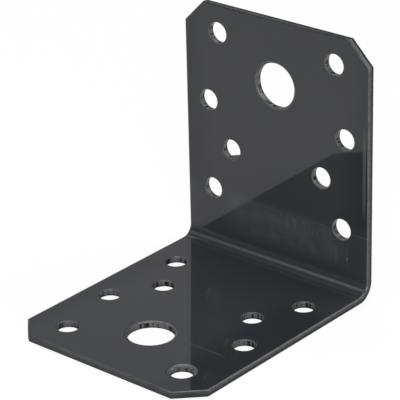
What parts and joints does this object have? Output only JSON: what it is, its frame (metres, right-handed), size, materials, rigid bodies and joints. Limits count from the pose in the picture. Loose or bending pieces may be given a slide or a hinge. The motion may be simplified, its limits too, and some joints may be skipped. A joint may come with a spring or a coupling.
{
  "type": "angle bracket",
  "caption": "Folded sheet steel angle bracket with cut corners, a bolt hole and staggered nail holes in each leg, coated gloss black.",
  "frame": {"origin": "the heel: the line where the planes of the two outer faces meet, at mid width", "axes": "+X from the heel along the base leg, +Z from the heel up the upright leg, Y across the width"},
  "size_m": [0.06, 0.05, 0.0585],
  "materials": {
    "black_coated_steel": "gloss black coating with faint handling marks"
  },
  "bodies": {
    "root": {"bracket": "black_coated_steel"}
  },
  "joints": []
}
